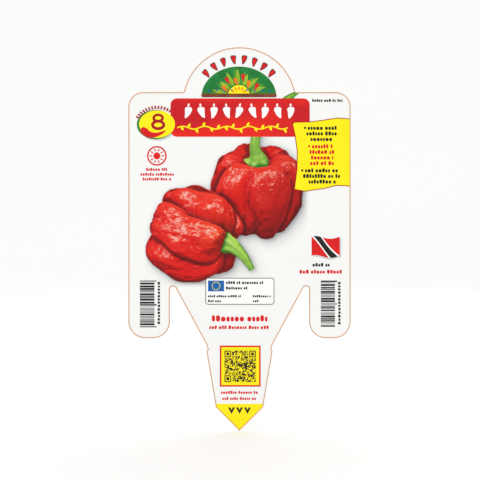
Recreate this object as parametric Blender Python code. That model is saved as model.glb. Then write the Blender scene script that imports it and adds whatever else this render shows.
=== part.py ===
"""Die-cut plant label: one flat plastic sheet with an arched head, two hanging wings and a pointed stake.

The stake goes into the potting soil and the wings hang outside the pot, so that the pot's rim sits in the
two slots between them. The sheet stands in the XZ plane with its printed face towards -Y. The origin is on
the back face, on the stake's centre line, level with the two small barbs that hold the stake in the soil.
"""

import math

import bpy

MM = 0.001

# Driving dimensions, in millimetres. Heights are measured up from the barbs.
SHEET_THICKNESS = 0.5
LABEL_WIDTH = 120.0
TOP_HEIGHT = 164.0
ARCH_RADIUS = 30.8
SHOULDER_HEIGHT = 139.8
SHOULDER_RADIUS = 8.0
ARCH_FILLET = 0.8
WING_WIDTH = 22.5
WING_FOOT_HEIGHT = 7.0
WING_FOOT_RADIUS = 9.0
SLOT_TOP_HEIGHT = 35.0
SLOT_RADIUS = 1.6
SLOT_LEAN_DEG = 28.5
NECK_HEIGHT = 3.4
BARB_UNDERCUT_HALF_WIDTH = 17.2
BARB_UNDERCUT_HEIGHT = 0.8
BARB_HALF_WIDTH = 17.9
TIP_BASE_HEIGHT = -30.2
TIP_BASE_HALF_WIDTH = 12.8
TIP_POINT_HEIGHT = -43.0

ARC_STEP_DEG = 3.0

WHITE_PLASTIC = (0.86, 0.86, 0.84, 1.0)
PLASTIC_ROUGHNESS = 0.38


def clear_scene():
    for thing in list(bpy.data.objects):
        bpy.data.objects.remove(thing)


def arc(centre, radius, start_deg, end_deg):
    """Points along a circular arc, both ends included, turning from start to end."""
    steps = max(2, math.ceil(abs(end_deg - start_deg) / ARC_STEP_DEG))
    points = []
    for i in range(steps + 1):
        angle = math.radians(start_deg + (end_deg - start_deg) * i / steps)
        points.append((centre[0] + radius * math.cos(angle), centre[1] + radius * math.sin(angle)))
    return points


def arch_and_shoulder():
    """From the top of the arch, down its side, round the small fillet and along the shoulder to the edge."""
    arch_centre = (0.0, TOP_HEIGHT - ARCH_RADIUS)
    rise = SHOULDER_HEIGHT + ARCH_FILLET - arch_centre[1]
    fillet_centre = (math.sqrt((ARCH_RADIUS + ARCH_FILLET) ** 2 - rise**2), SHOULDER_HEIGHT + ARCH_FILLET)
    meeting_deg = math.degrees(math.atan2(rise, fillet_centre[0]))
    half_width = LABEL_WIDTH / 2
    corner_centre = (half_width - SHOULDER_RADIUS, SHOULDER_HEIGHT - SHOULDER_RADIUS)
    return (
        arc(arch_centre, ARCH_RADIUS, 90.0, meeting_deg)
        + arc(fillet_centre, ARCH_FILLET, 180.0 + meeting_deg, 270.0)[1:]
        + arc(corner_centre, SHOULDER_RADIUS, 90.0, 0.0)
    )


def wing_foot():
    """Round the bottom of one wing, from its outer edge to its inner edge."""
    half_width = LABEL_WIDTH / 2
    level = WING_FOOT_HEIGHT + WING_FOOT_RADIUS
    outer = (half_width - WING_FOOT_RADIUS, level)
    inner = (half_width - WING_WIDTH + WING_FOOT_RADIUS, level)
    return arc(outer, WING_FOOT_RADIUS, 0.0, -90.0) + arc(inner, WING_FOOT_RADIUS, -90.0, -180.0)


def slot_and_neck():
    """Over the round top of a slot and down the leaning edge to the stake's neck."""
    centre = (LABEL_WIDTH / 2 - WING_WIDTH - SLOT_RADIUS, SLOT_TOP_HEIGHT - SLOT_RADIUS)
    top = arc(centre, SLOT_RADIUS, 0.0, 180.0 - SLOT_LEAN_DEG)
    last_x, last_z = top[-1]
    neck_x = last_x - (last_z - NECK_HEIGHT) * math.tan(math.radians(SLOT_LEAN_DEG))
    return top + [(neck_x, NECK_HEIGHT)]


def stake():
    """The barb, the tapering stake and one side of its point."""
    return [
        (BARB_UNDERCUT_HALF_WIDTH, BARB_UNDERCUT_HEIGHT),
        (BARB_HALF_WIDTH, 0.0),
        (TIP_BASE_HALF_WIDTH, TIP_BASE_HEIGHT),
        (0.0, TIP_POINT_HEIGHT),
    ]


def label_outline():
    """The whole cut edge: the right half from the arch's top to the tip, then the same points mirrored."""
    right = arch_and_shoulder() + wing_foot() + slot_and_neck() + stake()
    left = [(-x, z) for x, z in reversed(right[1:-1])]
    return right + left


def white_plastic():
    material = bpy.data.materials.new("white_plastic")
    material.use_nodes = True
    shader = material.node_tree.nodes["Principled BSDF"]
    shader.inputs["Base Color"].default_value = WHITE_PLASTIC
    shader.inputs["Roughness"].default_value = PLASTIC_ROUGHNESS
    shader.inputs["Metallic"].default_value = 0.0
    return material


def make_sheet(collection):
    """The sheet: a flat filled outline, extruded both ways by half its thickness, then stood upright."""
    flat = bpy.data.curves.new("label_sheet", "CURVE")
    flat.dimensions = "2D"
    flat.fill_mode = "BOTH"
    flat.extrude = SHEET_THICKNESS * MM / 2
    outline = label_outline()
    edge = flat.splines.new("POLY")
    edge.points.add(len(outline) - 1)
    for point, (x, z) in zip(edge.points, outline):
        point.co = (x * MM, z * MM, 0.0, 1.0)
    edge.use_cyclic_u = True
    flat.materials.append(white_plastic())
    sheet = bpy.data.objects.new("label_sheet", flat)
    sheet.rotation_euler = (math.pi / 2, 0.0, 0.0)
    sheet.location = (0.0, -SHEET_THICKNESS * MM / 2, 0.0)
    collection.objects.link(sheet)
    return sheet


def main():
    clear_scene()
    collection = bpy.data.collections.new("plant_label")
    bpy.context.scene.collection.children.link(collection)
    make_sheet(collection)


main()
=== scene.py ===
# %% [markdown]
# # A printed plant label
#
# This lesson finishes a die-cut plastic plant label: one flat white sheet with an arched head, two wings
# that hang outside the pot, and a pointed stake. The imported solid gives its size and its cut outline.
# Everything else is finish: a soft cut edge on the sheet, and thin films of ink on its front and back.
#
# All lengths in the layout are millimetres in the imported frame: x to the right of the centre line and z up
# from the two barbs on the stake. Heights are counted from the top or from the tip, both read off the
# solid.

import math
import random

import bmesh
import bpy
import numpy as np
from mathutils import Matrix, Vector


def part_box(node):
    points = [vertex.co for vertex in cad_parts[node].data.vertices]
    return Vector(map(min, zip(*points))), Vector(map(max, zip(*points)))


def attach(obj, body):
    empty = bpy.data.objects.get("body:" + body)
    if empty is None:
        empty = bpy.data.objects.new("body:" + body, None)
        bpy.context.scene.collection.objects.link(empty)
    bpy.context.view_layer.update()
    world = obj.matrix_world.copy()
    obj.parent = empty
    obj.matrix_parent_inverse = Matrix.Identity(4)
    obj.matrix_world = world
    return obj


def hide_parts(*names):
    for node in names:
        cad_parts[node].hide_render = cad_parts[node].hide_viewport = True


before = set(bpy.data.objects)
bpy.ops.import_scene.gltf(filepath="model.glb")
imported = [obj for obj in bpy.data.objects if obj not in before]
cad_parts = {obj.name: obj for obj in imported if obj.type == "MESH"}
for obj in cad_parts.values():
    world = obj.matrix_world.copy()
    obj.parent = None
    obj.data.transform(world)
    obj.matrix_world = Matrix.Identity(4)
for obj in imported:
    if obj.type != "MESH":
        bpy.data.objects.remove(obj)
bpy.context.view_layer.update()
print("packed nodes:", sorted(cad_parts))

# %% [markdown]
# ## Where things are
#
# The sheet's own box says where the top, the tip and the two faces lie. A designer lays out a label from
# its top edge, so most heights below are written as TOP minus a distance.

# %% Measure the sheet
MM = 0.001
low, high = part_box("label_sheet")
FRONT_Y = low[1]
BACK_Y = high[1]
TOP = high[2] / MM
TIP = low[2] / MM
HALF_WIDTH = (high[0] - low[0]) / 2 / MM
print(f"sheet {2 * HALF_WIDTH:.1f} mm wide, {TOP - TIP:.1f} mm long, {(BACK_Y - FRONT_Y) / MM:.2f} mm thick")

# %% [markdown]
# ## The camera
#
# A flat label is read straight on. A long lens keeps its outline free of perspective, and the camera looks
# along +Y at the middle of the label, a little right of the centre line.

# %% Camera
PAGE_SPAN = 259.0
LENS = 85.0
SENSOR = 36.0
VIEW_CENTRE = (0.27, TOP - 104.0)
camera_data = bpy.data.cameras.new("label_camera")
camera_data.lens = LENS
camera_data.sensor_width = SENSOR
camera = bpy.data.objects.new("label_camera", camera_data)
bpy.context.scene.collection.objects.link(camera)
stand_off = PAGE_SPAN * LENS / SENSOR * MM
camera.location = (VIEW_CENTRE[0] * MM, FRONT_Y - stand_off, VIEW_CENTRE[1] * MM)
camera.rotation_euler = (math.radians(90), 0, 0)
bpy.context.scene.camera = camera
print(f"camera {stand_off:.3f} m in front of the print")

# %% [markdown]
# ## Colours as a printer names them
#
# Ink colours are easiest to pick as screen values from 0 to 255. Blender's shaders want linear light, so
# one small function turns the first into the second.


# %% Screen colour to linear colour
def linear(red, green, blue):
    """A screen colour, 0 to 255, as the linear colour that a shader needs."""
    shares = np.array([red, green, blue]) / 255.0
    light = np.where(shares <= 0.04045, shares / 12.92, ((shares + 0.055) / 1.055) ** 2.4)
    return (*light.tolist(), 1.0)


PAPER = (244, 244, 242)
print("paper white in linear light:", [round(c, 3) for c in linear(*PAPER)[:3]])

# %% [markdown]
# ## Materials: white plastic and printed ink
#
# The sheet is opaque white polypropylene with a calendered, half-glossy skin. Ink is a film of pigment
# under a thin varnish. Both could be one flat colour, but a real print is never quite even: the ink lies a
# little thicker here and there, and the varnish ripples. So each material mixes two close shades with soft
# noise, lets the roughness wander, and adds a very shallow ripple as bump.


# %% One recipe for every surface of the label
def surface(name, shade, deep, patch=0.006, gloss=(0.30, 0.42), ripple=0.04, coat=0.0, sheen=0.2):
    """A plastic or ink material: two shades in soft patches, wandering gloss and a shallow ripple."""
    material = bpy.data.materials.new(name)
    material.use_nodes = True
    nodes, links = material.node_tree.nodes, material.node_tree.links
    shader = nodes["Principled BSDF"]
    place = nodes.new("ShaderNodeTexCoord")
    clouds = nodes.new("ShaderNodeTexNoise")
    clouds.inputs["Scale"].default_value = 1.0 / patch
    clouds.inputs["Detail"].default_value = 3.0
    links.new(place.outputs["Object"], clouds.inputs["Vector"])
    shades = nodes.new("ShaderNodeValToRGB")
    shades.color_ramp.elements[0].position = 0.35
    shades.color_ramp.elements[0].color = linear(*deep)
    shades.color_ramp.elements[1].position = 0.65
    shades.color_ramp.elements[1].color = linear(*shade)
    links.new(clouds.outputs["Fac"], shades.inputs["Fac"])
    links.new(shades.outputs["Color"], shader.inputs["Base Color"])
    shine = nodes.new("ShaderNodeMapRange")
    shine.inputs["To Min"].default_value = gloss[0]
    shine.inputs["To Max"].default_value = gloss[1]
    links.new(clouds.outputs["Fac"], shine.inputs["Value"])
    links.new(shine.outputs["Result"], shader.inputs["Roughness"])
    skin = nodes.new("ShaderNodeTexNoise")
    skin.inputs["Scale"].default_value = 900.0
    skin.inputs["Detail"].default_value = 2.0
    links.new(place.outputs["Object"], skin.inputs["Vector"])
    bump = nodes.new("ShaderNodeBump")
    bump.inputs["Strength"].default_value = ripple
    bump.inputs["Distance"].default_value = 0.0002
    links.new(skin.outputs["Fac"], bump.inputs["Height"])
    links.new(bump.outputs["Normal"], shader.inputs["Normal"])
    shader.inputs["Coat Weight"].default_value = coat
    shader.inputs["Coat Roughness"].default_value = 0.2
    shader.inputs["Specular IOR Level"].default_value = sheen
    return material


plastic = surface("white_plastic", PAPER, (242, 242, 241), patch=0.03)
INKS = {
    "red_ink": surface("red_ink", (224, 28, 30), (210, 22, 28)),
    "deep_red_ink": surface("deep_red_ink", (170, 20, 30), (152, 14, 24)),
    "yellow_ink": surface("yellow_ink", (255, 238, 20), (253, 232, 8)),
    "black_ink": surface("black_ink", (38, 34, 34), (24, 22, 24)),
    "grey_ink": surface("grey_ink", (96, 98, 102), (84, 86, 90)),
    "shadow_ink": surface("shadow_ink", (212, 212, 211), (204, 204, 204)),
    "tan_ink": surface("tan_ink", (212, 154, 104), (202, 144, 94)),
    "white_ink": surface("white_ink", (252, 251, 249), (248, 247, 245)),
    "blue_ink": surface("blue_ink", (22, 104, 178), (14, 92, 166)),
    "orange_ink": surface("orange_ink", (244, 128, 28), (236, 112, 20)),
    "green_ink": surface("green_ink", (34, 132, 58), (22, 112, 48)),
    "lime_ink": surface("lime_ink", (158, 190, 52), (132, 172, 40)),
    "leaf_ink": surface("leaf_ink", (86, 158, 58), (66, 140, 50)),
    "soil_ink": surface("soil_ink", (132, 72, 44), (108, 54, 34)),
}
print(len(INKS), "inks and one plastic")


# %% [markdown]
# ## The cut outline, taken from the solid
#
# The sheet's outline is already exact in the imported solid, so it is read from there: the front face's open
# edges, walked once round. The same walk later closes the film of the printed picture.


# %% Walk round a flat face's edge
def rim_of(faces):
    """Vertices round the outer edge of a patch of bmesh faces, in walking order."""
    patch = set(faces)
    follow = {}
    for face in patch:
        for loop in face.loops:
            if not any(other in patch for other in loop.edge.link_faces if other is not face):
                follow[loop.vert] = loop.link_loop_next.vert
    start = next(iter(follow))
    walk = [start]
    while follow[walk[-1]] is not start:
        walk.append(follow[walk[-1]])
    return walk


def cut_outline(node):
    """The solid's outline as (x, z) in millimetres, seen from the front."""
    mesh = bmesh.new()
    mesh.from_mesh(node.data)
    bmesh.ops.remove_doubles(mesh, verts=mesh.verts, dist=1e-6)
    mesh.normal_update()
    faces = [face for face in mesh.faces if face.normal.y < -0.9]
    outline = [(vert.co.x / MM, vert.co.z / MM) for vert in rim_of(faces)]
    mesh.free()
    return outline


def area_of(outline):
    """Signed area of a closed outline: positive when it runs anticlockwise seen from the front."""
    return sum(a[0] * b[1] - b[0] * a[1] for a, b in zip(outline, outline[1:] + outline[:1])) / 2


def inset(outline, distance):
    """The outline moved inwards by a distance, with mitred corners."""
    moved = []
    for before, here, after in zip(outline[-1:] + outline[:-1], outline, outline[1:] + outline[:1]):
        first = (Vector(here) - Vector(before)).normalized()
        second = (Vector(after) - Vector(here)).normalized()
        inward = Vector((-first.y - second.y, first.x + second.x))
        stretch = 2 * distance / max(inward.length_squared, 0.4)
        moved.append((here[0] + inward.x * stretch, here[1] + inward.y * stretch))
    return moved


cut = cut_outline(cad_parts["label_sheet"])
if area_of(cut) < 0:
    cut.reverse()
print(f"cut outline: {len(cut)} points round {area_of(cut) / 100:.1f} square centimetres")

# %% [markdown]
# ## The sheet
#
# A cutting die shears half-millimetre plastic and leaves its two rims very slightly round. A bevel modifier
# could round them. Here the sheet is built instead as four rings of the same outline, which keeps the mesh
# small and even: the two faces, pulled in by a hair, and the two edges of the cut wall. It replaces the
# plain solid on show.

# %% Sheet with softened rims
EDGE_SOFTNESS = 0.07


def ring_mesh(name, rings, close_first=True, close_last=True):
    """A closed mesh through rings of (x, y, z) points that all hold the same number of points."""
    count = len(rings[0])
    points = [point for ring in rings for point in ring]
    faces = []
    for level in range(len(rings) - 1):
        here, there = level * count, (level + 1) * count
        for i in range(count):
            j = (i + 1) % count
            faces.append((here + i, there + i, there + j, here + j))
    if close_first:
        faces.append(tuple(range(count)))
    if close_last:
        faces.append(tuple(reversed(range(len(points) - count, len(points)))))
    mesh = bpy.data.meshes.new(name)
    mesh.from_pydata(points, [], faces)
    mesh.validate()
    return mesh


def at_depth(outline, y):
    """(x, z) millimetres carried to (x, y, z) metres."""
    return [(x * MM, y, z * MM) for x, z in outline]


def show(name, mesh, material):
    """Link a finished mesh as a piece of the label that rides with the sheet."""
    piece = bpy.data.objects.new(name, mesh)
    mesh.materials.append(material)
    bpy.context.scene.collection.objects.link(piece)
    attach(piece, "root")
    return piece


soft_cut = inset(cut, EDGE_SOFTNESS)
sheet_rings = [
    at_depth(soft_cut, FRONT_Y),
    at_depth(cut, FRONT_Y + EDGE_SOFTNESS * MM),
    at_depth(cut, BACK_Y - EDGE_SOFTNESS * MM),
    at_depth(soft_cut, BACK_Y),
]
sheet = show("sheet_with_soft_rims", ring_mesh("sheet_with_soft_rims", sheet_rings), plastic)
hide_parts("label_sheet")
print("sheet:", len(sheet.data.polygons), "faces")

# %% [markdown]
# ## Films of ink
#
# Print could be a picture wrapped on the sheet. Built as thin closed films instead, every edge stays crisp
# from any distance. Each film is a prism a few hundredths of a millimetre thick, rooted a hair inside the
# sheet. A film that prints over another stands one level further out, so no two faces on show share a
# plane.

# %% Film builders
FILM = 0.03
ROOT_DEPTH = 0.01


def film_span(level, side):
    """The y of a film's inner and outer face on the front or the back of the sheet."""
    if side == "front":
        return FRONT_Y + ROOT_DEPTH * MM, FRONT_Y - (level + 1) * FILM * MM
    return BACK_Y - ROOT_DEPTH * MM, BACK_Y + (level + 1) * FILM * MM


def film(name, outlines, ink, level=0, side="front"):
    """One printed piece: each closed outline, without holes, as a thin prism of ink."""
    inner, outer = film_span(level, side)
    points, faces = [], []
    for outline in outlines:
        ring = list(outline)
        if (area_of(ring) > 0) != (side == "front"):
            ring.reverse()
        first, count = len(points), len(ring)
        points += at_depth(ring, outer) + at_depth(ring, inner)
        faces.append(tuple(range(first, first + count)))
        faces.append(tuple(reversed(range(first + count, first + 2 * count))))
        for i in range(count):
            j = (i + 1) % count
            faces.append((first + i, first + count + i, first + count + j, first + j))
    mesh = bpy.data.meshes.new(name)
    mesh.from_pydata(points, [], faces)
    return show(name, mesh, INKS[ink])


def line_film(name, outlines, width, ink, level=0, side="front"):
    """One printed piece: a line of even width just inside each closed outline."""
    inner_y, outer_y = film_span(level, side)
    joined = bmesh.new()
    for outline in outlines:
        ring = list(outline)
        if area_of(ring) < 0:
            ring.reverse()
        within = inset(ring, width)
        wall = [at_depth(ring, outer_y), at_depth(ring, inner_y)]
        rings = wall + [at_depth(within, inner_y), at_depth(within, outer_y)]
        loop = ring_mesh(name, rings + rings[:1], close_first=False, close_last=False)
        joined.from_mesh(loop)
        bpy.data.meshes.remove(loop)
    bmesh.ops.remove_doubles(joined, verts=joined.verts, dist=1e-7)
    bmesh.ops.recalc_face_normals(joined, faces=joined.faces)
    mesh = bpy.data.meshes.new(name)
    joined.to_mesh(mesh)
    joined.free()
    return show(name, mesh, INKS[ink])


# %% [markdown]
# ## Shapes to print
#
# Nearly every ornament on the label is one of four shapes: a box with round corners, an ellipse, an even
# stroke, or a stroke that swells and tapers, which makes pods, leaves and sun rays.


# %% Outlines
def box_outline(left, bottom, right, top, radius=0.0, steps=6):
    """A rectangle, with round corners if a radius is given."""
    if radius <= 0:
        return [(left, bottom), (right, bottom), (right, top), (left, top)]
    corners = [
        (right - radius, bottom + radius, -90),
        (right - radius, top - radius, 0),
        (left + radius, top - radius, 90),
        (left + radius, bottom + radius, 180),
    ]
    outline = []
    for cx, cz, start in corners:
        for i in range(steps + 1):
            turn = math.radians(start + 90 * i / steps)
            outline.append((cx + radius * math.cos(turn), cz + radius * math.sin(turn)))
    return outline


def ellipse(cx, cz, wide, tall, start=0.0, end=360.0, steps=40):
    """An ellipse by its half sizes, or the part of it between two angles."""
    whole = end - start >= 360
    turns = [math.radians(start + (end - start) * i / steps) for i in range(steps if whole else steps + 1)]
    return [(cx + wide * math.cos(turn), cz + tall * math.sin(turn)) for turn in turns]


def bend(start, pull, end, steps=10):
    """Points along a curve from start to end, drawn towards a pulling point."""
    path = []
    for i in range(steps + 1):
        t = i / steps
        weights = ((1 - t) ** 2, 2 * t * (1 - t), t * t)
        path.append(tuple(sum(w * p[axis] for w, p in zip(weights, (start, pull, end))) for axis in (0, 1)))
    return path


def swept(path, half_width):
    """The outline of a stroke along a path. half_width(t) gives its half width from 0 at the start to 1."""
    left, right = [], []
    last = len(path) - 1
    for i, (x, z) in enumerate(path):
        before, after = path[max(i - 1, 0)], path[min(i + 1, last)]
        along = Vector((after[0] - before[0], after[1] - before[1])).normalized()
        reach = max(half_width(i / last), 0.01)
        left.append((x - along.y * reach, z + along.x * reach))
        right.append((x + along.y * reach, z - along.x * reach))
    return left + right[::-1]


def toward(origin, angle, distance):
    """The point at a distance from another, in a direction given in degrees."""
    turn = math.radians(angle)
    return origin[0] + distance * math.cos(turn), origin[1] + distance * math.sin(turn)


def pod(crown, angle, length, width, curl=0.25, steps=14):
    """A chilli pod that hangs from its crown in the direction of angle, with a curled tip."""
    tip = toward(toward(crown, angle, length), angle + 90, curl * length)
    pull = toward(toward(crown, angle, length * 0.55), angle - 90, curl * length * 0.4)
    return swept(bend(crown, pull, tip, steps), lambda t: width * min(1.0, 0.55 + 3 * t) * (1 - t) ** 0.62)


def leaf(foot, angle, length, width, curl=0.0, steps=12):
    """A pointed leaf that grows from its foot in the direction of angle."""
    tip = toward(foot, angle, length)
    pull = toward(toward(foot, angle, length / 2), angle + 90, curl * length)
    return swept(bend(foot, pull, tip, steps), lambda t: width * math.sin(math.pi * t**0.8) ** 0.9)


# %% [markdown]
# ## The hairline along the cut
#
# The printer marks the cut with a thin tan line, which stays on the label as a fine rim. It follows the
# outline that was read from the solid and runs over every other ink.

# %% Tan rim
HAIRLINE = 0.46
TOP_LEVEL = 4
line_film("tan_cut_line", [soft_cut], HAIRLINE, "tan_ink", level=TOP_LEVEL)
print("tan line along", len(soft_cut), "points")

# %% [markdown]
# ## Painting the peppers
#
# The label's picture is two ripe, wrinkled chilli peppers. A printed picture is flat, so its shape lies in
# its colours alone. The way here is a painter's: sculpt each pepper as a dense cloud of skin points, look
# at it from the front, keep the nearest point at each dot of the picture, and mix that dot's ink from how
# the skin faces the light. First come the dots and a smooth, repeatable kind of noise for the wrinkles.

# %% Dots of the picture
DOT = 0.14
PICTURE_LEFT, PICTURE_RIGHT = -53.0, 38.2
PICTURE_FOOT, PICTURE_HEAD = TOP - 130.0, TOP - 46.0
DOTS_WIDE = int(round((PICTURE_RIGHT - PICTURE_LEFT) / DOT / 2)) * 2
DOTS_HIGH = int(round((PICTURE_HEAD - PICTURE_FOOT) / DOT / 2)) * 2
NOTHING, SKIN, STEM = 0, 1, 2
canvas = {
    "depth": np.full(DOTS_WIDE * DOTS_HIGH, -1e9),
    "normal": np.zeros((DOTS_WIDE * DOTS_HIGH, 3)),
    "kind": np.zeros(DOTS_WIDE * DOTS_HIGH, int),
}
print(f"picture of {DOTS_WIDE} by {DOTS_HIGH} dots")


def lattice(i, j, k, seed):
    """A fixed value from -1 to 1 for each corner of a space lattice."""
    mixed = (i * 73856093) ^ (j * 19349663) ^ (k * 83492791) ^ (seed * 2654435761)
    mixed = (mixed ^ (mixed >> 13)) * 1274126177
    return ((mixed ^ (mixed >> 16)) & 0xFFFFFF) / 0xFFFFFF * 2 - 1


def bumps(x, y, z, size, seed):
    """Smooth noise from -1 to 1 with bumps of the given size."""
    spots = [c / size + 100.0 for c in (x, y, z)]
    corners = [np.floor(c).astype(np.int64) for c in spots]
    shares = [c - corner for c, corner in zip(spots, corners)]
    shares = [share * share * (3 - 2 * share) for share in shares]
    total = 0.0
    for a in (0, 1):
        for b in (0, 1):
            for c in (0, 1):
                weight = 1.0
                for share, step in zip(shares, (a, b, c)):
                    weight = weight * (share if step else 1 - share)
                total = total + weight * lattice(corners[0] + a, corners[1] + b, corners[2] + c, seed)
    return total


# %% Laying skin points on the canvas
def down(distance):
    """The height of a line this far below the label's top."""
    return TOP - distance


def direction(*parts):
    """A unit vector: x right, y towards the reader, z up."""
    return np.array(parts, float) / np.linalg.norm(parts)


def lay(points, centre, kind):
    """Put a skin, a grid of (x, y, z) points, on the canvas. Each dot keeps the point nearest the reader."""
    around = np.roll(points, -1, 1) - np.roll(points, 1, 1)
    normals = np.cross(around, np.gradient(points, axis=0))
    normals /= np.linalg.norm(normals, axis=2, keepdims=True) + 1e-12
    if np.sum(normals * (points - centre)) < 0:
        normals = -normals
    column = np.floor((points[..., 0] - PICTURE_LEFT) / DOT).astype(int).ravel()
    row = np.floor((PICTURE_HEAD - points[..., 2]) / DOT).astype(int).ravel()
    depth, normals = points[..., 1].ravel(), normals.reshape(-1, 3)
    seen = (column >= 0) & (column < DOTS_WIDE) & (row >= 0) & (row < DOTS_HIGH) & (normals[:, 1] > 0)
    dots, depth, normals = (row * DOTS_WIDE + column)[seen], depth[seen], normals[seen]
    nearest = np.argsort(depth, kind="stable")
    dots, depth, normals = dots[nearest], depth[nearest], normals[nearest]
    last = np.full(DOTS_WIDE * DOTS_HIGH, -1)
    last[dots] = np.arange(len(dots))
    touched = np.flatnonzero(last >= 0)
    touched = touched[depth[last[touched]] > canvas["depth"][touched]]
    canvas["depth"][touched] = depth[last[touched]]
    canvas["normal"][touched] = normals[last[touched]]
    canvas["kind"][touched] = kind


# %% [markdown]
# ### One pepper
#
# A ripe pepper of this kind is a squat ball around its stem's axis, with a dent at the crown, a few deep
# furrows from crown to toe, and skin that crumples into folds along the same lines. Two angles run over it:
# one round the stem, one from crown to toe. The furrows are narrow dips at chosen angles. The folds are
# noise that is stretched from crown to toe, and the noise's size falls in steps from lumps to fine
# wrinkles.


# %% Pepper skin
def paint_pepper(centre, wide, tall, stem_axis, spin, furrows, seed, dent=0.35, toe=0.2, lumps=0.05):
    """Sculpt one pepper and lay it on the canvas. furrows holds (angle, depth) pairs."""
    turns = np.linspace(0, 2 * np.pi, 1700, endpoint=False)
    around, fall = np.meshgrid(turns, np.linspace(0.01, np.pi - 0.01, 1200))
    girth = np.sin(fall) ** 0.8 * (1 + 0.10 * np.cos(fall))
    crown_dip = dent * np.exp(-((fall / 0.42) ** 2))
    height = np.cos(fall) - crown_dip + toe * np.exp(-(((np.pi - fall) / 0.45) ** 2))
    dip = 0.0
    for angle, depth in furrows:
        line = math.radians(angle) + 0.12 * np.sin(3 * fall + angle)
        off = (around - line + np.pi) % (2 * np.pi) - np.pi
        dip = dip + depth * (0.6 * np.exp(-((off / 0.16) ** 2)) + 0.4 * np.exp(-((off / 0.42) ** 2)))
    girth = girth * (1 - dip * (0.35 + 0.65 * np.clip(np.sin(fall) * 1.6, 0, 1) ** 0.5))
    height = height * (1 - 0.35 * dip)
    x, y, z = girth * np.cos(around) * wide, girth * np.sin(around) * wide, height * tall
    ring_x, ring_y, run = np.cos(around) * wide, np.sin(around) * wide, fall * tall
    folds = bumps(ring_x, ring_y, run * 0.42, 4.2, seed + 1) * 0.80
    folds += (1 - 2 * np.abs(bumps(ring_x, ring_y, run * 0.55, 2.6, seed + 2))) * 0.34
    folds += (1 - 2 * np.abs(bumps(ring_x, ring_y, run * 0.8, 1.3, seed + 3))) * 0.13
    folds += bumps(x, y, z, 11.0, seed) * lumps * wide
    swell = 1 + folds * np.clip(np.sin(fall) * 1.5, 0.25, 1) / (np.sqrt(x * x + y * y + z * z) + 1e-9)
    points = np.stack([x * swell, y * swell, z * swell], -1)
    up = direction(*stem_axis)
    aside = direction(*np.cross((0, 1, 0), up))
    across = np.cross(up, aside)
    first = math.cos(spin) * aside + math.sin(spin) * across
    second = -math.sin(spin) * aside + math.cos(spin) * across
    centre = np.array(centre, float)
    lay(points @ np.stack([first, second, up]) + centre, centre, SKIN)


# %% Stems
def paint_stem(route, girths, seed, ribs=5):
    """Lay a ribbed stem along a smooth route of (x, y, z) points, with its half widths from foot to end."""
    route = np.array(route, float)
    t = np.linspace(0, 1, 1000)
    knots = np.linspace(0, 1, len(route))
    curves = [np.polyfit(knots, route[:, axis], len(route) - 1) for axis in range(3)]
    line = np.stack([np.polyval(curve, t) for curve in curves], -1)
    girth = np.interp(t, np.linspace(0, 1, len(girths)), girths)
    along = np.gradient(line, axis=0)
    along /= np.linalg.norm(along, axis=1, keepdims=True)
    side = np.cross(along, (0, 1, 0))
    side /= np.linalg.norm(side, axis=1, keepdims=True)
    front = np.cross(side, along)
    around = np.linspace(0, 2 * np.pi, 500, endpoint=False)
    reach = girth[:, None] * (1 + 0.09 * np.cos(ribs * around)[None, :] * (1 - 0.5 * t[:, None]))
    spokes = np.cos(around)[None, :, None] * side[:, None, :]
    spokes = spokes + np.sin(around)[None, :, None] * front[:, None, :]
    points = line[:, None, :] + reach[..., None] * spokes
    rough = bumps(points[..., 0], points[..., 1], points[..., 2], 2.0, seed) * 0.05
    lay(points + rough[..., None] * (points - line[:, None, :]), line[:, None, :], STEM)


# %% Paint the two peppers and their stems
BACK_CENTRE = (9.5, -14.0, TOP - 78.0)
FRONT_CENTRE = (-25.2, 6.0, TOP - 100.0)
back_furrows = [(20, 0.14), (80, 0.19), (142, 0.17), (205, 0.14), (262, 0.18), (318, 0.15)]
front_furrows = [(15, 0.26), (95, 0.30), (150, 0.26), (215, 0.30), (300, 0.26)]
paint_pepper(BACK_CENTRE, 25.6, 26.0, (0.02, 0.42, 0.9), 0.3, back_furrows, seed=11)
paint_stem(
    [(9.5, -3.5, TOP - 62.5), (9.3, -1.0, TOP - 58), (8.4, 1.0, TOP - 53), (10.0, 2.0, TOP - 45)],
    [6.6, 4.4, 3.2, 2.7, 2.5, 2.4],
    seed=5,
)
front_axis = (0.86, 0.30, -0.36)
front_shape = {"dent": 0.25, "toe": 0.35, "lumps": 0.10}
paint_pepper(FRONT_CENTRE, 27.0, 27.5, front_axis, 0.5, front_furrows, seed=31, **front_shape)
paint_stem(
    [(-8.5, 17.0, TOP - 105.5), (-3.0, 22.0, TOP - 108), (2.2, 24.0, TOP - 113), (6.6, 24.0, TOP - 120)],
    [5.6, 4.4, 3.6, 3.0, 2.4, 1.9, 1.5],
    seed=6,
)
print("painted dots:", int((canvas["kind"] != NOTHING).sum()))

# %% [markdown]
# ### Mixing the ink
#
# Each dot now knows which way its bit of skin faces and how near it is. Light comes from the upper left,
# with a weak second lamp on the right. A dot that lies lower than its neighbours is in a furrow and gets
# darker. Where the skin mirrors a lamp towards the reader it turns pinkish white, and wrinkles and small
# flecks break that glint up. The skin next to the front stem ripened last and is still orange. Soft grey on
# the paper, below and to the right, sets the peppers on the ground.


# %% Light, furrows and glints
def blur(values, millimetres):
    """Soften a picture-sized array with a bell curve of the given width."""
    spread = millimetres / DOT
    reach = max(1, int(3 * spread))
    bell = np.exp(-0.5 * (np.arange(-reach, reach + 1) / spread) ** 2)
    bell /= bell.sum()
    for axis in (0, 1):
        padded = np.pad(values, [(reach, reach) if a == axis else (0, 0) for a in (0, 1)], mode="edge")
        values = sum(
            share * np.take(padded, np.arange(step, step + values.shape[axis]), axis=axis)
            for step, share in enumerate(bell)
        )
    return values


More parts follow.
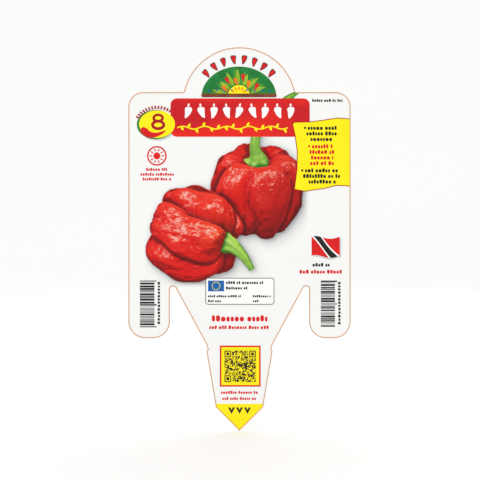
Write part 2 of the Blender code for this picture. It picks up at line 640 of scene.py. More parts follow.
def mixed(low_colour, high_colour, share):
    """A colour between two others, dot by dot."""
    return np.array(low_colour) / 255 + (np.array(high_colour) - np.array(low_colour)) / 255 * share


depth = canvas["depth"].reshape(DOTS_HIGH, DOTS_WIDE)
facing = canvas["normal"].reshape(DOTS_HIGH, DOTS_WIDE, 3)
kind = canvas["kind"].reshape(DOTS_HIGH, DOTS_WIDE)
hit = (kind != NOTHING).astype(float)
READER = direction(0, 1, 0)
KEY = direction(-0.35, 0.62, 0.70)
SECOND = direction(0.75, 0.55, 0.20)

sunk = 0.0
for reach, weight in ((0.6, 0.5), (1.6, 0.5), (4.0, 0.35)):
    level = blur(np.where(hit > 0, depth, 0.0), reach) / np.maximum(blur(hit, reach), 1e-3)
    sunk = sunk + weight * np.clip((level - depth) / (reach * 0.9), -0.4, 1.2)
towards = np.clip(facing @ READER, 0, 1)
sunk = np.where(sunk > 0, sunk * np.clip(towards * 1.7, 0.2, 1), sunk)
openness = np.clip(1 - 0.8 * sunk, 0.15, 1.15)
lit = 0.15 + 0.80 * np.clip((facing @ KEY + 0.25) / 1.25, 0, 1)
lit = lit + 0.20 * np.clip((facing @ SECOND + 0.2) / 1.2, 0, 1)
lit = np.clip(lit * openness, 0, 1.2)[..., None]

glint = 0.0
for lamp, strength in ((KEY, 1.1), (direction(0.30, 0.50, 0.82), 1.0), (direction(-0.85, 0.45, 0.25), 0.7),
                       (direction(0.75, 0.50, 0.40), 0.75)):
    glint = glint + strength * np.clip(facing @ direction(*(lamp + READER)), 0, 1) ** 70
glint = (np.clip(glint * 1.5 - 0.30, 0, 1) * np.clip(openness * 1.1, 0, 1))[..., None]
edge = ((1 - towards) ** 3)[..., None]
print("brightest glint:", round(float(glint.max()), 2))

# %% Red skin, green stem and the soft ground shadow
red = np.where(
    lit < 0.50,
    mixed((92, 4, 8), (212, 14, 14), np.clip(lit / 0.50, 0, 1)),
    mixed((212, 14, 14), (240, 46, 28), np.clip((lit - 0.50) / 0.6, 0, 1)),
)
dot_x = (PICTURE_LEFT + (np.arange(DOTS_WIDE) + 0.5) * DOT)[None, :] + np.zeros((DOTS_HIGH, 1))
dot_z = (PICTURE_HEAD - (np.arange(DOTS_HIGH) + 0.5) * DOT)[:, None] + np.zeros((1, DOTS_WIDE))
far_side = np.clip((dot_x - 4.0) / 30.0 + (down(74.0) - dot_z) / 34.0, 0, 1) * (dot_x > 2.0)
red = red * (1 - far_side[..., None] * np.array([0.17, 0.08, 0.08]))
ripeness = 0.5 * np.exp(-((dot_x + 9.0) ** 2 + (dot_z - down(101.0)) ** 2) / 11.0**2)[..., None]
red = red * (1 - ripeness) + ripeness * lit.clip(0.3, 1) * np.array([1.0, 0.33, 0.08])
rim = edge * np.clip(facing @ KEY + 0.35, 0, 1)[..., None]
red = red * (1 - 0.45 * rim) + 0.45 * rim * np.array([1.0, 0.55, 0.50])
flecks = np.clip((bumps(dot_x, dot_z, 0.0 * dot_x, 1.3, 77) - 0.25) * 3, 0, 1)[..., None]
sheen = np.clip(facing @ direction(*(KEY + READER)), 0, 1)[..., None] ** 9
glint = np.clip(glint + 0.5 * flecks * sheen * np.clip(openness, 0, 1)[..., None], 0, 1)
red = red * (1 - 0.8 * glint) + 0.8 * glint * np.array([1.0, 0.86, 0.82])
green = mixed((41, 107, 26), (173, 217, 89), np.clip(lit * 0.95, 0, 1) ** 1.3)
shine = 0.45 * (np.clip(facing @ direction(*(KEY + READER)), 0, 1) ** 30)[..., None]
green = green * (1 - shine) + shine * np.array([0.93, 0.97, 0.80])

shade = np.zeros((DOTS_HIGH, DOTS_WIDE))
for softness, shift, strength in ((1.2, 0.8, 0.26), (3.4, 2.5, 0.20)):
    steps = int(shift / DOT)
    shade[steps:, steps:] += strength * blur(hit, softness)[:-steps, :-steps]
from_left = np.arange(DOTS_WIDE)[None, :]
from_foot = (DOTS_HIGH - 1 - np.arange(DOTS_HIGH))[:, None]
margin = np.minimum(np.minimum(from_left, DOTS_WIDE - 1 - from_left), from_foot)
shade = (shade * np.clip(margin / 20.0, 0, 1))[..., None]
ground = 1 - shade * np.array([1.0, 0.98, 0.95])
picture = np.where((kind == STEM)[..., None], green, np.where((kind == SKIN)[..., None], red, ground))
picture = np.clip(picture, 0, 1)
picture = picture.reshape(DOTS_HIGH // 2, 2, DOTS_WIDE // 2, 2, 3).mean((1, 3))
print("printed picture:", picture.shape[1], "by", picture.shape[0], "points")

# %% [markdown]
# ### The picture's film
#
# The dots become the corners of a fine grid, which carries its colours as a point attribute. Rows keep only
# the stretch that holds ink, so bare paper stays bare. The grid is then closed with a narrow wall and a
# back, like every other film. A flat map, named OFBake, records how the colours lie on it.

# %% Grid of printed points
INK_START = 0.008


def picture_film(name, colours, level):
    """A closed film whose front is a grid of coloured points."""
    high_count = colours.shape[0]
    inked = np.abs(colours - 1).max(2) > INK_START
    keep = np.zeros_like(inked)
    for row in range(high_count):
        columns = np.flatnonzero(inked[row])
        if len(columns):
            keep[row, columns[0] : columns[-1] + 1] = True
    keep[1:-1] |= keep[:-2] & keep[2:]
    number = np.full(keep.shape, -1)
    number[keep] = np.arange(keep.sum())
    rows, columns = np.nonzero(keep)
    inner, outer = film_span(level, "front")
    pitch = 2 * DOT
    xs = (PICTURE_LEFT + (columns + 0.5) * pitch) * MM
    zs = (PICTURE_HEAD - (rows + 0.5) * pitch) * MM
    corners = [number[1:, :-1], number[1:, 1:], number[:-1, 1:], number[:-1, :-1]]
    quads = np.stack([c.ravel() for c in corners], 1)
    quads = quads[(quads >= 0).all(1)]
    mesh = bpy.data.meshes.new(name)
    mesh.from_pydata(np.stack([xs, np.full(len(xs), outer), zs], 1).tolist(), [], quads.tolist())
    paint = mesh.color_attributes.new("printed_colour", "FLOAT_COLOR", "POINT")
    screen = colours[keep] * np.array(PAPER) / 255
    light = np.where(screen <= 0.04045, screen / 12.92, ((screen + 0.055) / 1.055) ** 2.4)
    paint.data.foreach_set("color", np.concatenate([light, np.ones((len(light), 1))], 1).ravel())
    solid = bmesh.new()
    solid.from_mesh(mesh)
    bmesh.ops.delete(solid, geom=[vert for vert in solid.verts if not vert.link_faces], context="VERTS")
    layer = solid.verts.layers.float_color["printed_colour"]
    walk = rim_of(list(solid.faces))
    lower = []
    for vert in walk:
        copy = solid.verts.new((vert.co.x, inner, vert.co.z))
        copy[layer] = vert[layer]
        lower.append(copy)
    for i, vert in enumerate(walk):
        j = (i + 1) % len(walk)
        solid.faces.new((walk[j], vert, lower[i], lower[j]))
    solid.faces.new(list(reversed(lower)))
    unwrap = solid.loops.layers.uv.new("OFBake")
    for face in solid.faces:
        for loop in face.loops:
            u = (loop.vert.co.x / MM - PICTURE_LEFT) / (PICTURE_RIGHT - PICTURE_LEFT)
            v = (loop.vert.co.z / MM - PICTURE_FOOT) / (PICTURE_HEAD - PICTURE_FOOT)
            loop[unwrap].uv = (u, v)
    solid.to_mesh(mesh)
    solid.free()
    return mesh


def picture_ink():
    """Printed picture: the points' own colours under the same varnish as the other inks."""
    material = surface("picture_ink", (255, 255, 255), (250, 250, 250))
    nodes, links = material.node_tree.nodes, material.node_tree.links
    shader = nodes["Principled BSDF"]
    colours = nodes.new("ShaderNodeVertexColor")
    colours.layer_name = "printed_colour"
    links.new(colours.outputs["Color"], shader.inputs["Base Color"])
    return material


peppers = show("peppers_picture", picture_film("peppers_picture", picture, 0), picture_ink())
print("picture film:", len(peppers.data.polygons), "faces")

# %% [markdown]
# ## Heights on the page
#
# The rest of the print is laid out as a printer would, from the top edge down. Distances below the top are
# turned into heights by one helper, and another makes a box from its left, upper, right and lower edge.


# %% Page helpers
def panel_box(left, upper, right, lower, radius=0.0):
    """A box outline given by distances below the top edge."""
    return box_outline(left, down(lower), right, down(upper), radius)


# %% [markdown]
# ## Rows of text, without text
#
# A label needs its blocks of small print to look right, but this one says nothing. Each row is greeked:
# words become runs of little round-ended strokes of uneven width and height, as layout artists draw text
# that isn't written yet. The gaps between words come from a seeded random sequence, so every run gives the
# same rows.


# %% Greeked rows
def greek_row(left, right, middle, height, seed, side_lean=0.0):
    """Outlines of little strokes that fill a row from left to right, in words of two to eight strokes."""
    chance = random.Random(seed)
    strokes, x, letters = [], left, chance.randint(3, 8)
    while x < right - 0.3 * height:
        wide = height * chance.uniform(0.42, 0.72)
        tall = height * chance.choice((0.78, 0.78, 1.0))
        end = min(x + wide, right)
        if end - x > 0.2 * height:
            low_edge = middle - height / 2
            radius = min(0.28 * height, 0.45 * (end - x))
            outline = box_outline(x, low_edge, end, low_edge + tall, radius, steps=2)
            strokes.append([(px + (pz - low_edge) * side_lean, pz) for px, pz in outline])
        letters -= 1
        x = end + height * (0.16 if letters else 0.55)
        if not letters:
            letters = chance.randint(2, 8)
    return strokes


# %% [markdown]
# ## The red banner
#
# The banner is a red bar with round corners under the arched head. Its red runs from crimson to a warmer
# scarlet along soft diagonal streaks, which a noise texture gives when it is turned and stretched one way.

# %% Banner
BANNER = panel_box(-37.2, 27.6, 37.9, 48.3, radius=3.4)


def streaked_red(name):
    """Banner red: crimson with warmer scarlet in soft diagonal streaks."""
    material = surface(name, (230, 30, 32), (214, 26, 30), coat=0.1)
    nodes, links = material.node_tree.nodes, material.node_tree.links
    place = nodes.new("ShaderNodeTexCoord")
    turn = nodes.new("ShaderNodeMapping")
    turn.inputs["Rotation"].default_value = (0, math.radians(38), 0)
    streak = nodes.new("ShaderNodeTexNoise")
    turn.inputs["Scale"].default_value = (22, 22, 90)
    streak.inputs["Scale"].default_value = 1.0
    streak.inputs["Detail"].default_value = 1.0
    shades = nodes.new("ShaderNodeValToRGB")
    shades.color_ramp.elements[0].position = 0.40
    shades.color_ramp.elements[0].color = linear(198, 14, 26)
    shades.color_ramp.elements[1].position = 0.62
    shades.color_ramp.elements[1].color = linear(230, 32, 14)
    links.new(place.outputs["Object"], turn.inputs["Vector"])
    links.new(turn.outputs["Vector"], streak.inputs["Vector"])
    links.new(streak.outputs["Fac"], shades.inputs["Fac"])
    links.new(shades.outputs["Color"], nodes["Principled BSDF"].inputs["Base Color"])
    return material


INKS["banner_ink"] = streaked_red("banner_ink")
film("red_banner", [BANNER], "banner_ink", level=1)

# %% [markdown]
# The banner's two lines are ornament instead of a title: nine white pods in a row, each tilted a little
# differently, and under them a yellow vine that waves along the bar with a leaf at every turn.

# %% Pods and vine on the banner
title_pods, title_caps = [], []
for i in range(9):
    x = -27.6 + 6.9 * i
    tilt = (-100, -78, -92, -84, -104, -76, -96, -82, -90)[i]
    crown = (x - 0.02 * (tilt + 90), down(32.3))
    title_pods.append(pod(crown, tilt, 6.2, 2.25, curl=0.16 if i % 2 else -0.16))
    title_caps.append(leaf((crown[0], crown[1] + 0.15), 84 + 10 * (i % 2), 2.0, 0.55, curl=0.15))
film("white_title_pods", title_pods, "white_ink", level=2)
film("white_title_stalks", title_caps, "white_ink", level=3)

vine = [(-33.6 + 59.6 * i / 90, down(43.4) + 0.75 * math.sin(i / 90 * 2 * math.pi * 5)) for i in range(91)]
film("yellow_vine", [swept(vine, lambda t: 0.34)], "yellow_ink", level=2)
vine_leaves = []
for i in range(15):
    foot = vine[3 + 6 * i]
    vine_leaves.append(leaf(foot, 62 if i % 2 else -62, 2.6, 0.72, curl=0.12))
film("yellow_vine_leaves", vine_leaves, "yellow_ink", level=3)
print("banner with", len(title_pods), "pods and", len(vine_leaves), "leaves")

# %% [markdown]
# ## The emblem under the arch
#
# The head carries a small garden scene in a half round: a rising sun, leaves that fan out like a hedge,
# little red and orange pods between them, and a strip of soil. An arc of eight dark-edged red pods crowns
# it.

# %% Garden emblem
ground_line = down(26.8)
sky = [(x, z) for x, z in ellipse(-0.3, ground_line, 20.2, 16.4, 0, 180, 60)]
film("emblem_green_hedge", [sky], "green_ink", level=1)
hedge_light, hedge_mid = [], []
for i in range(15):
    angle = 6 + 12 * i
    foot = toward((-0.3, ground_line), angle, 6.6)
    target = hedge_light if i % 2 else hedge_mid
    length = 9.2 * (0.86 + 0.14 * math.sin(i))
    target.append(leaf(foot, angle + (5 if i % 2 else -5), length, 1.15, curl=0.06))
film("emblem_light_leaves", hedge_light, "lime_ink", level=2.5)
film("emblem_mid_leaves", hedge_mid, "leaf_ink", level=2)
film("emblem_sun", [ellipse(-0.3, ground_line + 0.4, 6.0, 6.0, 0, 180, 30)], "yellow_ink", level=3)
sun_heart = (-0.3, ground_line + 0.4)
sun_rays = [leaf(toward(sun_heart, 15 + 25 * i, 3.0), 15 + 25 * i, 2.6, 0.42) for i in range(7)]
film("emblem_sun_rays", sun_rays, "orange_ink", level=3.5)
red_pods, orange_pods = [], []
for i in range(1, 7):
    angle = 12 + 22.2 * i
    crown = toward((-0.3, ground_line), angle, 12.6 if i % 2 else 10.4)
    (red_pods if i % 2 else orange_pods).append(pod(crown, -90 + 14 * (i - 3.5), 4.0, 1.15, curl=0.2))
film("emblem_red_pods", red_pods, "red_ink", level=4.5)
film("emblem_orange_pods", orange_pods, "orange_ink", level=4)
film("emblem_soil", [box_outline(-20.6, down(27.0), 20.0, down(25.0), 0.9)], "soil_ink", level=5)
drop_places = [(-16.5 + 4.1 * i, down(23.6) + 0.5 * (i % 2)) for i in range(9) if i != 4]
drops = [ellipse(x, z, 0.42, 0.62, steps=14) for x, z in drop_places]
film("emblem_water_drops", drops, "blue_ink", level=3.8)

arc_pods, arc_edges = [], []
for i in range(8):
    angle = 137 - 13.4 * i
    crown = toward((-0.3, down(30.6)), angle, 26.4)
    lean = angle - 180
    arc_edges.append(pod(crown, lean, 5.0, 1.75, curl=0.12 if i % 2 else -0.12))
    arc_pods.append(pod(toward(crown, lean, 0.42), lean, 4.0, 1.25, curl=0.12 if i % 2 else -0.12))
film("arc_pod_edges", arc_edges, "black_ink", level=2)
film("arc_pods", arc_pods, "red_ink", level=3)
print("emblem:", len(hedge_light) + len(hedge_mid), "leaves and", len(arc_pods), "pods in the arc")

# %% [markdown]
# ## A stem behind the banner
#
# The back pepper's stalk passes under the banner and shows again above it, where the die has cut it off at
# the shoulder. It lies on the lowest level, so the banner covers its foot.

# %% Stalk above the banner
stalk = [(21.6, 29.0), (24.2, 26.6), (27.0, 25.1), (29.7, 24.0)]
stalk += [(30.5, 24.8), (32.2, 24.9), (29.6, 27.0), (28.2, 29.0)]
film("stalk_above_banner", [[(x, down(d)) for x, d in stalk]], "leaf_ink", level=0)
gleam = [(23.6, 28.4), (26.4, 26.4), (29.3, 25.2), (29.6, 25.7), (27.0, 27.1), (24.8, 28.8)]
film("stalk_gleam", [[(x, down(d)) for x, d in gleam]], "lime_ink", level=0.5)

# %% [markdown]
# ## The heat badge
#
# A yellow oval at the banner's left end tells how hot the fruit is on a plain scale, by a number. Its soft
# grey shadow is a second oval below it, a green rim holds its left side, and a red crescent runs under the
# number.

# %% Heat badge
film("badge_shadow", [ellipse(-44.1, down(42.7), 10.1, 7.8, steps=56)], "shadow_ink", level=0)
film("badge_green_rim", [ellipse(-45.2, down(41.7), 10.2, 7.9, steps=56)], "green_ink", level=2)
film("badge_yellow_oval", [ellipse(-44.5, down(41.5), 9.7, 7.4, steps=56)], "yellow_ink", level=3)
under = bend((-52.6, down(43.4)), (-48.5, down(50.6)), (-39.6, down(44.8)), 24)
crescent = swept(under, lambda t: 2.2 * min(1, 0.4 + 5 * t) * (1 - t) ** 0.6)
film("badge_red_crescent", [crescent], "red_ink", level=4)
ticks = []
for i in range(13):
    angle = math.radians(152 - 8.2 * i)
    ends = [(-44.5 + r * 1.16 * math.cos(angle), down(42.6) + r * math.sin(angle)) for r in (9.3, 11.0)]
    ticks.append(swept(ends, lambda t: 0.42))
film("badge_scale_ticks", ticks, "deep_red_ink", level=4.4)
upper_ring = ellipse(-43.9, down(38.2), 3.1, 2.4, steps=36)
lower_ring = ellipse(-43.9, down(41.9), 3.8, 2.8, steps=36)
line_film("badge_eight_upper", [upper_ring], 1.35, "deep_red_ink", level=4.6)
line_film("badge_eight_lower", [lower_ring], 1.55, "deep_red_ink", level=5)
print("heat badge with", len(ticks), "ticks and the number 8")

# %% [markdown]
# ## The sun pictogram
#
# Under the badge sits a small round pictogram in red: a ring with a sun, the usual sign for a plant that
# wants a sunny place, over three short greeked rows.

# %% Sun pictogram
sun_centre = (-44.6, down(58.6))
line_film("sun_ring", [ellipse(*sun_centre, 5.3, 5.3, steps=60)], 0.8, "red_ink", level=1)
film("sun_disc", [ellipse(*sun_centre, 1.9, 1.9, steps=32)], "red_ink", level=1)
ray_ends = [(toward(sun_centre, 36 * i, 2.5), toward(sun_centre, 36 * i, 3.9)) for i in range(10)]
rays = [swept(ends, lambda t: 0.32) for ends in ray_ends]
film("sun_rays", rays, "red_ink", level=1)
sun_rows = []
for row, (left, right) in enumerate(((-50.4, -38.8), (-53.4, -35.4), (-52.2, -36.6))):
    sun_rows += greek_row(left, right, down(65.9 + 2.6 * row), 1.7, seed=40 + row)
film("sun_rows", sun_rows, "red_ink", level=1)

# %% [markdown]
# ## The yellow note
#
# A yellow patch with a curved left edge carries ten short rows with three bullets. It overlaps the banner,
# and its right side runs to the cut, so the tan line closes it. A dark red hairline edges it.

# %% Yellow note
left_edge = [(30.3, 40.2), (29.2, 40.5), (28.4, 41.2), (29.9, 48.0), (31.0, 56.6), (30.8, 66.0), (29.4, 76.8)]
foot_edge = [(35.4, 77.9), (46.1, 76.3), (52.6, 74.7), (HALF_WIDTH - 0.1, 75.1)]
head_edge = [(HALF_WIDTH - 0.1, 38.5), (52.6, 38.0), (45.0, 39.2), (38.0, 40.1)]
note = [(x, down(d)) for x, d in left_edge + foot_edge + head_edge]
film("yellow_note", [note], "yellow_ink", level=2)
line_film("yellow_note_edge", [note], 0.42, "deep_red_ink", level=3)
black_rows, red_rows, bullets_black, bullets_red = [], [], [], []
row_widths = (15.5, 17.0, 12.5, 11.0, 13.5, 12.0, 13.0, 18.5, 20.5, 14.5)
for row, width in enumerate(row_widths):
    height = down(43.5 + 3.02 * row + (0.9 if row >= 3 else 0) + (0.9 if row >= 7 else 0))
    group = red_rows if 3 <= row < 7 else black_rows
    group.extend(greek_row(44.6 - width / 2, 44.6 + width / 2, height, 2.25, seed=60 + row))
    if row in (0, 7):
        bullets_black.append(ellipse(44.6 - width / 2 - 1.5, height, 0.62, 0.62, steps=20))
    if row == 3:
        bullets_red.append(ellipse(44.6 - width / 2 - 1.5, height, 0.62, 0.62, steps=20))
film("note_black_rows", black_rows + bullets_black, "black_ink", level=3)
film("note_red_rows", red_rows + bullets_red, "red_ink", level=3)
film("small_line_above_note", greek_row(39.2, 55.6, down(28.7), 1.6, seed=80), "black_ink", level=1)
print("yellow note with", len(black_rows) + len(red_rows), "strokes of greeked text")

# %% [markdown]
# ## The flag of the plant's homeland
#
# Labels of this kind name the place a plant comes from with its flag. The flag waves: its outline and the
# band across it share one ripple, so the band follows the cloth. A soft grey shape under it is the printed
# shadow.


# %% Waving flag
def wave(x, z):
    """Lift a point of the flag by the ripple that runs along it."""
    return x, z + 0.75 * math.sin((x - 38.6) / 15.8 * 2 * math.pi + 0.6)


def flag_shape(corners, steps=16):
    """A four-cornered shape whose edges follow the ripple."""
    outline = []
    for (x0, z0), (x1, z1) in zip(corners, corners[1:] + corners[:1]):
        outline += [wave(x0 + (x1 - x0) * i / steps, z0 + (z1 - z0) * i / steps) for i in range(steps)]
    return outline


def flag_corners(shift=0.0, sink=0.0):
    """The flag's corners, from the upper left round to the lower left."""
    left, right, upper, lower = 38.9 + shift, 54.1 + shift, down(102.6 + sink), down(112.9 + sink)
    return [(left, lower), (right, lower), (right, upper), (left, upper)]


film("flag_shadow", [flag_shape(flag_corners(0.8, 0.9))], "shadow_ink", level=0)
film("flag_red", [flag_shape(flag_corners())], "red_ink", level=1)
left, right, upper, lower = 38.9, 54.1, down(102.6), down(112.9)
white_band = [(48.2, lower), (right, lower), (44.8, upper), (left, upper)]
black_band = [(49.2, lower), (53.1, lower), (43.8, upper), (39.9, upper)]
film("flag_white_band", [flag_shape(white_band)], "white_ink", level=2)
film("flag_black_band", [flag_shape(black_band)], "black_ink", level=3)
film("origin_row_black", greek_row(39.4, 48.6, down(117.4), 2.0, seed=90), "black_ink", level=1)
film("origin_row_red", greek_row(32.4, 55.4, down(121.1), 2.2, seed=91), "red_ink", level=1)

# %% [markdown]
# ## Bar blocks on the two wings
#
# Each wing ends in a block of black bars of uneven thickness, with a narrow strip of greeked digits beside
# it. The bars here encode nothing: their widths come from a seeded random sequence.


# %% Bar blocks
def bar_block(left, right, long_right, upper, lower, seed):
    """Bars stacked from the upper to the lower edge. A few at the ends and the middle are longer."""
    chance = random.Random(seed)
    bars, d = [], upper
    while d < lower - 0.4:
        thick = 0.265 * chance.choice((1, 2, 3, 4))
        near_end = min(d - upper, lower - d) < 0.8 or abs(d - (upper + lower) / 2) < 0.5
        bars.append(panel_box(left, d, long_right if near_end else right, min(d + thick, lower)))
        d += thick + 0.265 * chance.choice((1, 1, 2, 2))
    return bars


def digit_strip(left, right, upper, lower, seed):
    """A narrow column of little upright strokes beside the bars."""
    chance = random.Random(seed)
    strokes, d = [], upper
    while d < lower - 1.0:
        tall = chance.uniform(1.0, 1.5)
        strokes.append(panel_box(left + chance.choice((0, 0.2)), d, right, d + tall, 0.3))
        d += tall + 0.5
    return strokes


film("left_bars", bar_block(-53.7, -45.9, -44.8, 125.9, 151.1, seed=21), "black_ink", level=1)
film("left_digits", digit_strip(-44.2, -42.9, 126.6, 150.6, seed=22), "black_ink", level=1)
film("right_bars", bar_block(43.9, 51.5, 52.6, 125.9, 151.1, seed=23), "black_ink", level=1)
film("right_digits", digit_strip(53.2, 54.5, 126.6, 150.6, seed=24), "black_ink", level=1)

# %% [markdown]
# ## The plant passport box
#
# Growers print a small framed box with a tile of stars and a few rows of data. Twelve yellow stars on blue
# are a common emblem. Everything else in the box is greeked.


# %% Passport box
def star(cx, cz, reach, points=5):
    """A star outline with the given number of points, one of them straight up."""
    outline = []
    for i in range(2 * points):
        outline.append(toward((cx, cz), 90 + 180 * i / points, reach if i % 2 == 0 else reach * 0.4))
    return outline


film("passport_ground", [panel_box(-18.3, 124.5, 18.7, 138.8, 1.5)], "white_ink", level=0.5)
line_film("passport_frame", [panel_box(-18.4, 124.4, 18.8, 138.9, 1.6)], 0.4, "grey_ink", level=1)
film("passport_blue_tile", [panel_box(-17.0, 125.9, -8.3, 131.7)], "blue_ink", level=1)
ring_of_stars = [star(*toward((-12.65, down(128.8)), 30 * i, 2.1), 0.52) for i in range(12)]
film("passport_stars", ring_of_stars, "yellow_ink", level=2)
passport_rows = []
for number, (left, right, d, tall) in enumerate((
    (-7.3, 12.7, 127.0, 1.7), (-7.3, 4.9, 129.9, 1.7), (-17.0, 0.8, 134.3, 1.4), (7.2, 17.4, 134.3, 1.4),
    (-17.0, -10.0, 136.9, 1.4), (7.2, 10.4, 136.9, 1.4),
)):
    passport_rows += greek_row(left, right, down(d), tall, seed=100 + number)
film("passport_rows", passport_rows, "black_ink", level=1)

# %% [markdown]
# ## The foot of the sheet
#
# Below the passport box come a red title row and a small row, greeked, then a square code of small modules
# in a red frame, two red captions, and a yellow tip with three black chevrons that say which way is down.

# %% Title rows on the stake
film("stake_title_row", greek_row(-14.9, 15.1, down(146.3), 3.4, seed=120), "red_ink", level=1)
small_row = greek_row(-16.4, 16.7, down(151.1), 2.0, seed=121, side_lean=0.12)
film("stake_small_row", small_row, "red_ink", level=1)
film("caption_row_1", greek_row(-10.0, 10.6, down(186.2), 1.7, seed=122), "red_ink", level=1)
film("caption_row_2", greek_row(-9.2, 9.4, down(189.5), 1.7, seed=123), "red_ink", level=1)

# %% [markdown]
# The square code is a pattern with three finder squares and modules set by a seeded random choice. Modules
# that touch in a row are drawn as one bar, and a hair's gap parts the rows, so each bar is a closed solid
# of its own. The pattern holds no message.

# %% Square code
MODULES = 33
CODE_LEFT, CODE_TOP, CODE_SIZE = -8.1, 163.7, 16.9
GAP = 0.012
film("code_yellow_ground", [panel_box(-10.6, 161.0, 11.4, 183.1)], "yellow_ink", level=1)
line_film("code_red_frame", [panel_box(-10.6, 161.0, 11.4, 183.1)], 0.8, "red_ink", level=2)
chance = random.Random(5)
cell = CODE_SIZE / MODULES
filled = [[chance.random() < 0.5 for _ in range(MODULES)] for _ in range(MODULES)]
for corner_row, corner_column in ((0, 0), (0, MODULES - 7), (MODULES - 7, 0)):
    for r in range(-1, 8):
        for c in range(-1, 8):
            row, column = corner_row + r, corner_column + c
            if 0 <= row < MODULES and 0 <= column < MODULES:
                ring_distance = max(abs(r - 3), abs(c - 3))
                filled[row][column] = ring_distance in (0, 1, 3)
bars = []
for row in range(MODULES):
    column = 0
    while column < MODULES:
        run = 0
        while column + run < MODULES and filled[row][column + run]:
            run += 1
        if run:
            upper = CODE_TOP + row * cell
            first, last = CODE_LEFT + column * cell + GAP, CODE_LEFT + (column + run) * cell - GAP
            bars.append(panel_box(first, upper + GAP, last, upper + cell - GAP))
        column += max(run, 1)
film("code_modules", bars, "black_ink", level=3)
print("square code:", len(bars), "bars of modules")

# %% [markdown]
# The tip's yellow follows the cut outline below a level line, so it is cut from that outline with a
# straight edge: every outline point below the line stays, and the two crossings close it.


# %% Yellow tip
def below_line(outline, height):
    """The part of a closed outline under a level line."""
    kept = []
    for (x0, z0), (x1, z1) in zip(outline, outline[1:] + outline[:1]):
        if z0 <= height:
            kept.append((x0, z0))
        if (z0 <= height) != (z1 <= height):
            share = (height - z0) / (z1 - z0)
            kept.append((x0 + share * (x1 - x0), height))
    return kept


tip_shape = below_line(inset(soft_cut, 0.1), down(192.4))
film("yellow_tip", [tip_shape], "yellow_ink", level=1)
chevrons = []
for i in range(3):
    x = 4.3 * (i - 1)
    upper, point = down(194.3), down(197.8)
    left_arm, right_arm = [(x - 1.9, upper), (x - 0.6, upper)], [(x + 0.6, upper), (x + 1.9, upper)]
    chevrons.append(left_arm + [(x, point + 2.0)] + right_arm + [(x, point)])
film("tip_chevrons", chevrons, "black_ink", level=2)

# %% [markdown]
# ## The back of the sheet
#
# The back of such a label is usually plainer. This one has a growing calendar in green, twelve small cells
# in a strip with four filled, over a few greeked rows. The shapes are laid out for a reader who stands
# behind.

# %% Back print
def mirrored(outlines):
    """Outlines turned left for right, to be read from behind."""
    return [[(-x, z) for x, z in outline] for outline in outlines]


calendar = [panel_box(-36.0 + 6.0 * i, 58.0, -30.6 + 6.0 * i, 65.0, 0.8) for i in range(12)]
line_film("back_calendar_cells", mirrored(calendar), 0.4, "green_ink", level=0, side="back")
marks = [panel_box(-34.9 + 6.0 * i, 59.2, -31.7 + 6.0 * i, 63.8, 0.6) for i in (2, 3, 4, 5)]
film("back_calendar_marks", mirrored(marks), "leaf_ink", level=0, side="back")
back_rows = []
for row in range(9):
    right_end = 30.0 + 6.0 * math.sin(2.1 * row)
    back_rows += greek_row(-36.0, right_end, down(75.0 + 4.4 * row), 1.9, seed=140 + row)
film("back_rows", mirrored(back_rows), "grey_ink", level=0, side="back")
title_row = mirrored(greek_row(-20.0, 20.0, down(46.0), 4.0, seed=150))
film("back_title_row", title_row, "green_ink", level=0, side="back")

# %% [markdown]
# ## Floor and light
#
# A flat label is best seen in soft even light against a pale ground with no corner in it. The floor is
# turned like a wide bowl: flat where the label's tip stands, then curving up, so every side has the same
# backdrop. The room beyond its rim is white, and the soft boxes only add a little direction to that even
# light.

# %% Seamless bowl
FLOOR_Z = low[2] - 0.0002
FLAT_RADIUS, BEND_RADIUS, RIM_SLOPE = 1.9, 1.0, 40
SPOKES = 96


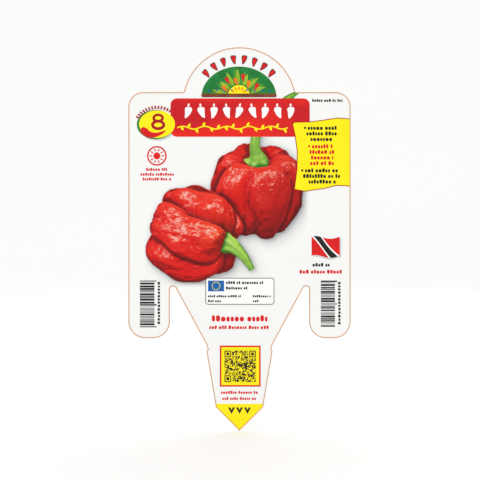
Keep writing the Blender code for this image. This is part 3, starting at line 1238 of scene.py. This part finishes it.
def turned_bowl(name):
    """A bowl of revolution: a flat floor and a wide bend that ends in a slope, open to the bright room."""
    profile = [(FLAT_RADIUS * i / 12, FLOOR_Z) for i in range(1, 13)]
    for i in range(1, 25):
        turn = math.radians(RIM_SLOPE * i / 24)
        rise = BEND_RADIUS * (1 - math.cos(turn))
        profile.append((FLAT_RADIUS + BEND_RADIUS * math.sin(turn), FLOOR_Z + rise))
    radius, height = profile[-1]
    profile.append((radius + 1.2, height + 1.2 * math.tan(math.radians(RIM_SLOPE))))
    bowl = bmesh.new()
    middle = bowl.verts.new((0, 0, FLOOR_Z))
    rings = []
    for radius, height in profile:
        turns = [2 * math.pi * k / SPOKES for k in range(SPOKES)]
        rings.append([bowl.verts.new((radius * math.cos(t), radius * math.sin(t), height)) for t in turns])
    for k in range(SPOKES):
        bowl.faces.new((middle, rings[0][k], rings[0][(k + 1) % SPOKES]))
    for inner, outer in zip(rings, rings[1:]):
        for k in range(SPOKES):
            j = (k + 1) % SPOKES
            bowl.faces.new((inner[k], outer[k], outer[j], inner[j]))
    for face in bowl.faces:
        face.smooth = True
    mesh = bpy.data.meshes.new(name)
    bowl.to_mesh(mesh)
    bowl.free()
    return mesh


floor = bpy.data.objects.new("studio_floor", turned_bowl("studio_floor"))
matt = surface("studio_floor", (252, 252, 251), (251, 251, 250), patch=0.6, gloss=(0.85, 0.9), ripple=0.0)
floor.data.materials.append(matt)
bpy.context.scene.collection.objects.link(floor)


# %% Lights
def soft_light(name, place, size, power):
    """A square soft box that faces the middle of the label."""
    lamp = bpy.data.lights.new(name, "AREA")
    lamp.size = size
    lamp.energy = power
    lamp_object = bpy.data.objects.new(name, lamp)
    lamp_object.location = place
    aim = Vector((0, 0, VIEW_CENTRE[1] * MM)) - Vector(place)
    lamp_object.rotation_euler = aim.to_track_quat("-Z", "Y").to_euler()
    bpy.context.scene.collection.objects.link(lamp_object)


soft_light("front_left_box", (-0.9, -1.1, 1.0), 0.9, 1.5)
soft_light("front_right_box", (1.0, -1.0, 0.7), 0.9, 0.9)
soft_light("back_box", (0.3, 1.2, 1.1), 0.9, 1.5)
room = bpy.data.worlds.new("room")
bpy.context.scene.world = room
room.use_nodes = True
room.node_tree.nodes["Background"].inputs["Color"].default_value = (1.0, 1.0, 1.0, 1.0)
room.node_tree.nodes["Background"].inputs["Strength"].default_value = 1.0
bpy.context.scene.view_settings.view_transform = "Standard"
